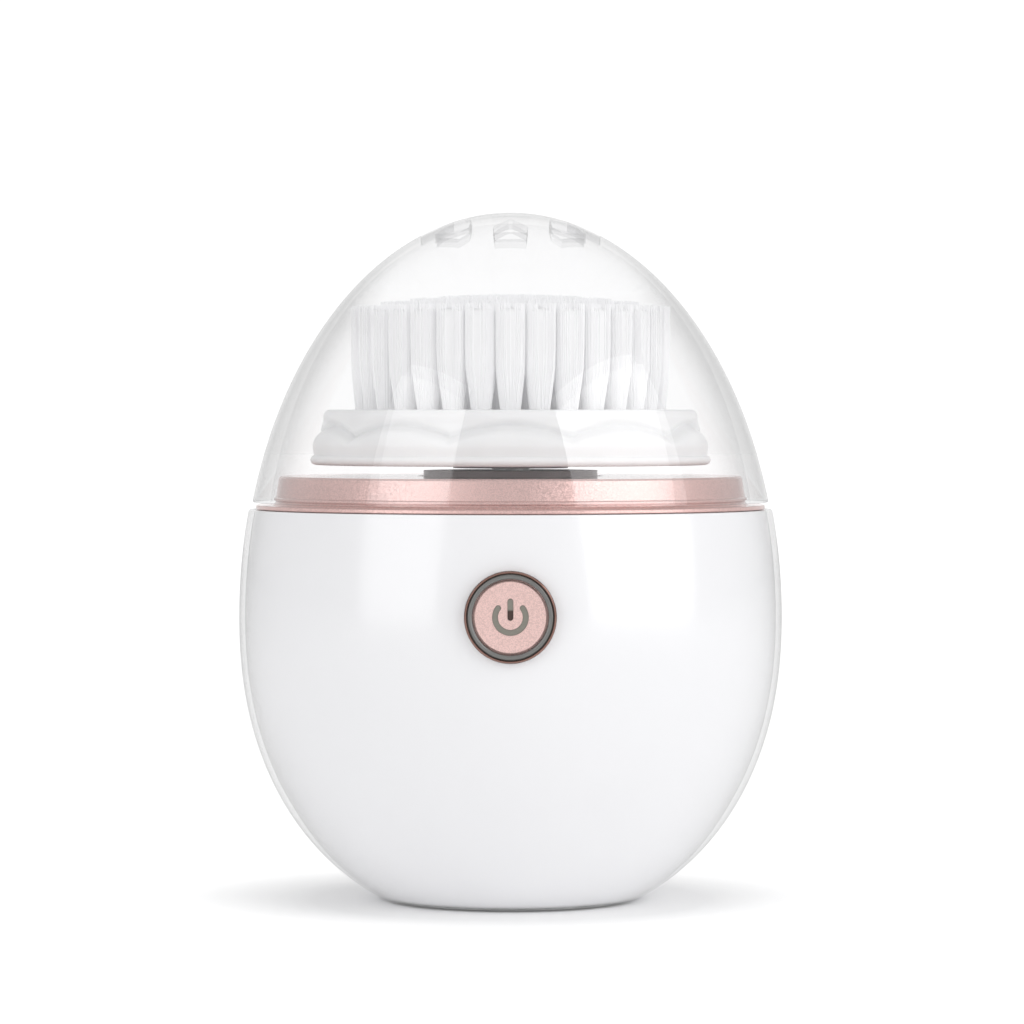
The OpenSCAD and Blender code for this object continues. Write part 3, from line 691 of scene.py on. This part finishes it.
def clear(name, tint, wall_shade, edge, glance=1.0, rough=0.015, face=0.035):
    """Thin clear plastic: it mirrors at a glancing angle, and towards the outline its see-through is painted slightly
    grey, painted shade that stands in for the darker wall that bent light would show. Near the top of the cap this
    painted shade fades, as painted light from above. Light on its way to what is inside passes straight through. The
    third argument is how grey the painted shade gets, and edge says where, from 0 facing to 1 along the wall: start,
    full grey, end of it, and half way back. face and glance are how much it mirrors at those two ends."""
    made, tree, shader, out = new_material(name)
    tree.nodes.remove(shader)
    see = tree.nodes.new("ShaderNodeBsdfTransparent")
    facing = add(tree, "ShaderNodeLayerWeight", Blend=0.5)
    cloud = noise(tree, 60, 2)
    ramp = add(tree, "ShaderNodeValToRGB")
    bar = ramp.color_ramp
    # Painted shade: the see-through colour is darkened towards the outline, by the facing angle.
    shaded_wall, rim = [c * wall_shade for c in tint], [c * (1 + wall_shade) / 2 for c in tint]
    bar.elements[0].position, bar.elements[0].color = 0.0, (*tint, 1)
    bar.elements[1].position, bar.elements[1].color = edge[3], (*rim, 1)
    for spot, colour in ((edge[0], tint), (edge[1], shaded_wall), (edge[2], shaded_wall)):
        bar.elements.new(spot).color = (*colour, 1)
    # Painted light: the painted wall shade fades towards the top of the cap, where light comes from above.
    crown = remap(tree, place(tree)["Z"], 1.0, 0.5, 76 * MM, 87 * MM)
    tree.links.new(maths(tree, "MULTIPLY", facing.outputs["Facing"], crown), ramp.inputs[0])
    tree.links.new(ramp.outputs[0], see.inputs["Color"])
    gloss = add(tree, "ShaderNodeBsdfAnisotropic")
    tree.links.new(remap(tree, cloud, rough, rough + 0.015), gloss.inputs["Roughness"])
    curve = maths(tree, "POWER", facing.outputs["Facing"], 5.0)
    mix = add(tree, "ShaderNodeMixShader")
    tree.links.new(remap(tree, curve, face, glance, 0.0, 1.0), mix.inputs[0])
    tree.links.new(see.outputs[0], mix.inputs[1])
    tree.links.new(gloss.outputs[0], mix.inputs[2])
    path = add(tree, "ShaderNodeLightPath")
    inward = maths(tree, "MAXIMUM", path.outputs["Is Shadow Ray"], path.outputs["Is Diffuse Ray"])
    through = add(tree, "ShaderNodeBsdfTransparent")
    through.inputs["Color"].default_value = (0.985, 0.985, 0.985, 1)
    gate = add(tree, "ShaderNodeMixShader")
    tree.links.new(inward, gate.inputs[0])
    tree.links.new(mix.outputs[0], gate.inputs[1])
    tree.links.new(through.outputs[0], gate.inputs[2])
    tree.links.new(gate.outputs[0], out.inputs["Surface"])
    return made


def bristle_material():
    """White nylon: each filament is a touch lighter or darker, and light passes a little way through it. It also glows
    faintly, painted light that stands in for light scattered through the packed filaments.
    """
    made, tree, shader, out = new_material("bristle nylon")
    streak = noise(tree, 900, 2, stretch=(1, 1, 0.04))
    tree.links.new(shades(tree, streak, (0.95, 0.95, 0.955), (0.985, 0.985, 0.99)), shader.inputs["Base Color"])
    shader.inputs["Roughness"].default_value = 0.42
    # Painted light: a faint white glow that brightens the tufts.
    shader.inputs["Emission Color"].default_value = (1, 1, 1, 1)
    shader.inputs["Emission Strength"].default_value = 0.05
    through = add(tree, "ShaderNodeBsdfTranslucent")
    through.inputs["Color"].default_value = (0.93, 0.93, 0.94, 1)
    mix = add(tree, "ShaderNodeMixShader")
    mix.inputs[0].default_value = 0.25
    tree.links.new(shader.outputs[0], mix.inputs[1])
    tree.links.new(through.outputs[0], mix.inputs[2])
    tree.links.new(mix.outputs[0], out.inputs["Surface"])
    return made


def icon_material():
    """Grey symbol inlay, with the lower half of its bar darker, where the light behind it shows."""
    made, tree, shader, _ = new_material("icon inlay")
    grain = noise(tree, 4000, 3)
    grey = shades(tree, grain, (0.19, 0.18, 0.155), (0.21, 0.2, 0.17))
    brown = shades(tree, grain, (0.035, 0.016, 0.012), (0.05, 0.024, 0.018))
    at = place(tree)
    middle = remap(tree, maths(tree, "ABSOLUTE", at["X"]), 1, 0, 0.6 * MM, 0.7 * MM)
    under = remap(tree, at["Z"], 1, 0, (HOLE_Z + 0.75) * MM, (HOLE_Z + 1.0) * MM)
    over = remap(tree, at["Z"], 0, 1, (HOLE_Z - 1.3) * MM, (HOLE_Z - 1.2) * MM)
    mask = maths(tree, "MULTIPLY", maths(tree, "MULTIPLY", middle, under), over)
    mix = add(tree, "ShaderNodeMix", data_type="RGBA")
    tree.links.new(mask, mix.inputs[0])
    tree.links.new(grey, mix.inputs[6])
    tree.links.new(brown, mix.inputs[7])
    tree.links.new(mix.outputs[2], shader.inputs["Base Color"])
    tree.links.new(remap(tree, grain, 0.35, 0.45), shader.inputs["Roughness"])
    bump(tree, shader, grain, 0.003)
    return made


def frosted_material():
    """Frosted white plastic that glows softly where light gets into it."""
    made, tree, shader, _ = new_material("frosted plastic")
    cloud = noise(tree, 130, 3)
    fine = noise(tree, 2600, 3)
    tree.links.new(shades(tree, cloud, (0.765, 0.765, 0.77), (0.82, 0.82, 0.825)), shader.inputs["Base Color"])
    tree.links.new(remap(tree, cloud, 0.4, 0.5), shader.inputs["Roughness"])
    bump(tree, shader, fine, 0.006)
    shader.inputs["Subsurface Weight"].default_value = 0.35
    shader.inputs["Subsurface Radius"].default_value = (0.0016, 0.0016, 0.0017)
    shader.inputs["Subsurface Scale"].default_value = 1.0
    return made


CLEAR = (0.998, 0.998, 0.999)
# The finish of each material slot
FINISHES = {
    "white_plastic": moulded("white plastic", (0.8, 0.8, 0.815), 0.3, vary=0.01, depth=0.001),
    "foot_rubber": moulded("foot rubber", (0.5, 0.5, 0.5), 0.7, vary=0.05, depth=0.01),
    "rose_gold": flaked("rose gold lacquer", (0.70, 0.475, 0.445), 0.36, flake=9000, tilt=0.1, coat=0.8),
    "smoke_plastic": moulded("smoke plastic", (0.135, 0.135, 0.13), 0.16, vary=0.03, depth=0.001, coat=0.6),
    "grey_plastic": moulded("hub grey", (0.23, 0.178, 0.182), 0.26, vary=0.05, grain=2500, depth=0.003),
    "icon_plastic": icon_material(),
    "clear_plastic": clear("clear cap plastic", CLEAR, 0.87, (0.42, 0.68, 0.82, 0.97), face=0.06),
    "frosted_plastic": frosted_material(),
    "bristle": bristle_material(),
    "frame_plastic": moulded("frame plastic", (0.03, 0.03, 0.032), 0.5, grain=1800, depth=0.01),
    "gear_plastic": moulded("gear acetal", (0.75, 0.73, 0.66), 0.4, depth=0.003),
    "seal_rubber": moulded("seal rubber", (0.025, 0.025, 0.027), 0.6, vary=0.1, depth=0.008),
    "silicone": moulded("silicone", (0.6, 0.6, 0.62), 0.5, depth=0.003, Subsurface_Weight=0.3),
    "steel": moulded("steel", (0.56, 0.56, 0.57), 0.3, metal=1.0, grain=3000, stretch=(1, 1, 0.1)),
    "bronze": moulded("bronze", (0.5, 0.32, 0.17), 0.38, metal=1.0, grain=3500, depth=0.006),
    "brass_pinion": moulded("brass", (0.72, 0.54, 0.24), 0.28, metal=1.0, grain=3500),
    "copper": moulded("enamelled copper", (0.64, 0.27, 0.12), 0.25, metal=1.0, grain=2200, depth=0.02,
                      stretch=(1, 1, 8)),
    "ferrite": moulded("ferrite", (0.045, 0.045, 0.05), 0.75, vary=0.15, grain=5000, depth=0.02),
    "board_green": moulded("board green", (0.02, 0.16, 0.06), 0.3, vary=0.12, grain=1400, coat=0.4),
    "chip_black": moulded("chip black", (0.02, 0.02, 0.022), 0.55, vary=0.1, grain=6000, depth=0.006),
    "plug_nylon": moulded("plug nylon", (0.7, 0.67, 0.58), 0.45, depth=0.004),
    "led_lens": moulded("led lens", (0.75, 0.78, 0.72), 0.2, depth=0.002, Transmission_Weight=0.5),
    "cell_wrap": moulded("cell wrap", (0.03, 0.22, 0.3), 0.28, vary=0.08, coat=0.3),
    "red_wire": moulded("red wire", (0.5, 0.02, 0.02), 0.4, vary=0.08),
    "black_wire": moulded("black wire", (0.02, 0.02, 0.02), 0.4, vary=0.1),
}
# Pieces whose finish differs from the rest of their slot. The edge and the disc differ by painted shade and painted
# light
OWN_FINISH = {
    "button_cap": flaked("rose gold key", (0.79, 0.56, 0.525), 0.4, flake=9500, tilt=0.045),
    # Painted shade: the thin rose gold edge is given a dark brown, the way it looks in shade.
    "button_trim": moulded("rose gold edge", (0.29, 0.17, 0.142), 0.16, vary=0.05, grain=2500, depth=0.002, metal=0.9),
    # Painted light: the disc is given a lighter grey than the hub's, to make up for the shade it sits in between the
    # carrier and the collar.
    "seal_retainer": moulded("disc grey", (0.5, 0.42, 0.43), 0.3, vary=0.05, grain=2500, depth=0.003),
}
SHELL_FINISH = moulded("gloss white shell", (0.83, 0.83, 0.845), 0.2, spread=0.03, vary=0.006, grain=700,
                       depth=0.002)
SKIN_FINISH = clear("clear skin", CLEAR, 0.995, (0.7, 0.8, 0.93, 1.0), rough=0.13)
CAP_INSIDE = clear("clear cap inside", CLEAR, 0.985, (0.6, 0.75, 0.85, 0.97), glance=0.16, face=0.06)
# Painted shade: the vents' cut walls see through in a greyer tint than the rest of the cap.
CAP_CUT = clear("clear cap cut edge", (0.9, 0.9, 0.903), 0.86, (0.1, 0.5, 0.85, 0.97), glance=0.5)


# ---------------------------------------------------------------- the object
for name, node in NODES.items():
    slot = node.data.materials[0].name.split(".")[0]
    node.data.materials[0] = OWN_FINISH.get(name, FINISHES[slot])


def stand_in(made, body, slot, materials, *replaced):
    """Gives a piece its finishes, and puts it in the place of the CAD nodes it stands for."""
    made.data.materials.clear()
    for material in materials:
        made.data.materials.append(material)
    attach(made, body)
    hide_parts(*replaced)


stand_in(make_skin(), "handset", "clear_plastic", [SKIN_FINISH], "outer_shell")
stand_in(make_shell(), "handset", "white_plastic", [SHELL_FINISH], "inner_shell")
cap_piece = make_cap()
stand_in(cap_piece, "lid", "clear_plastic", [FINISHES["clear_plastic"], CAP_INSIDE, CAP_CUT], "lid")
sort_cap_faces(cap_piece)
stand_in(make_carrier(), "brush_head", "frosted_plastic", [FINISHES["frosted_plastic"]], "brush_carrier")
for name, outer_count, tip_count in (
    ("bristles_outer", 46, 44),
    ("bristles_middle", 26, 40),
    ("bristles_inner", 26, 40),
):
    made = make_bristles(name, TUFT_RINGS[name], outer_count, tip_count)
    stand_in(made, "brush_head", "bristle", [FINISHES["bristle"]], name.replace("bristles_", "") + "_tufts")


# ---------------------------------------------------------------- floor, light and camera
def make_floor():
    """A pale floor. Away from the foot it glows a little for the camera, so that it comes out white."""
    mesh = bpy.data.meshes.new("floor")
    half, z = 6.0, -0.0002
    mesh.from_pydata([(-half, -half, z), (half, -half, z), (half, half, z), (-half, half, z)], [], [(0, 1, 2, 3)])
    floor = bpy.data.objects.new("floor", mesh)
    bpy.context.scene.collection.objects.link(floor)
    made, tree, shader, _ = new_material("pale floor")
    shader.inputs["Base Color"].default_value = (0.9, 0.9, 0.9, 1)
    shader.inputs["Roughness"].default_value = 0.9
    shader.inputs["Specular IOR Level"].default_value = 0.0
    shader.inputs["Emission Color"].default_value = (1, 1, 1, 1)
    where = add(tree, "ShaderNodeTexCoord")
    away = add(tree, "ShaderNodeVectorMath", operation="LENGTH")
    tree.links.new(where.outputs["Object"], away.inputs[0])
    near = remap(tree, away.outputs["Value"], 0.0, 0.32, 0.026, 0.045)
    far = remap(tree, away.outputs["Value"], 0.0, 0.16, 0.3, 1.2)
    path = add(tree, "ShaderNodeLightPath")
    glow = add(tree, "ShaderNodeMix", data_type="FLOAT")
    glow.inputs[2].default_value = 0.12
    tree.links.new(path.outputs["Is Camera Ray"], glow.inputs[0])
    tree.links.new(maths(tree, "ADD", near, far), glow.inputs[3])
    tree.links.new(glow.outputs[0], shader.inputs["Emission Strength"])
    mesh.materials.append(made)


def soft_box(name, azimuth_deg, elevation_deg, distance, width, height, radiance):
    """A rectangular lamp that faces the object. Azimuth 0 is in front, and grows to the right."""
    lamp = bpy.data.lights.new(name, "AREA")
    lamp.shape, lamp.size, lamp.size_y = "RECTANGLE", width, height
    lamp.energy = radiance * math.pi * width * height
    made = bpy.data.objects.new(name, lamp)
    bpy.context.scene.collection.objects.link(made)
    a, e = math.radians(azimuth_deg), math.radians(elevation_deg)
    away = Vector((math.sin(a) * math.cos(e), -math.cos(a) * math.cos(e), math.sin(e)))
    aim = Vector((0, 0, 0.045))
    made.location = aim + away * distance
    made.rotation_euler = (-away).to_track_quat("-Z", "Y").to_euler()
    made.visible_camera = False
    return made


def make_world():
    """Soft light from all round, brighter from behind. The camera sees plain white."""
    world = bpy.data.worlds.new("studio")
    bpy.context.scene.world = world
    world.use_nodes = True
    tree = world.node_tree
    tree.nodes.clear()
    out = add(tree, "ShaderNodeOutputWorld")
    sky = add(tree, "ShaderNodeBackground", Color=(1, 1, 1, 1))
    seen = add(tree, "ShaderNodeBackground", Color=(1, 1, 1, 1), Strength=1.11)
    level = remap(tree, place(tree, "Generated")["Y"], 0.74, 1.1, 0.90, 0.97)
    tree.links.new(level, sky.inputs["Strength"])
    path = add(tree, "ShaderNodeLightPath")
    mix = add(tree, "ShaderNodeMixShader")
    tree.links.new(path.outputs["Is Camera Ray"], mix.inputs[0])
    tree.links.new(sky.outputs[0], mix.inputs[1])
    tree.links.new(seen.outputs[0], mix.inputs[2])
    tree.links.new(mix.outputs[0], out.inputs["Surface"])


make_floor()
make_world()
soft_box("left_box", -48, 22, 0.95, 0.62, 0.85, 1.2)
soft_box("right_box", 58, 22, 0.95, 0.94, 0.85, 1.55)

camera_data = bpy.data.cameras.new("camera")
camera_data.lens = 161.5
camera_data.sensor_width = 36
camera = bpy.data.objects.new("camera", camera_data)
bpy.context.scene.collection.objects.link(camera)
camera.location = (0.0002, -0.610, 0.065)
aim = Vector((0.0002, 0, 0.0513)) - camera.location
camera.rotation_euler = aim.to_track_quat("-Z", "Y").to_euler()
bpy.context.scene.camera = camera
bpy.context.scene.view_settings.view_transform = "Standard"
bpy.context.scene.cycles.diffuse_bounces = 8
bpy.context.scene.cycles.transparent_max_bounces = 32
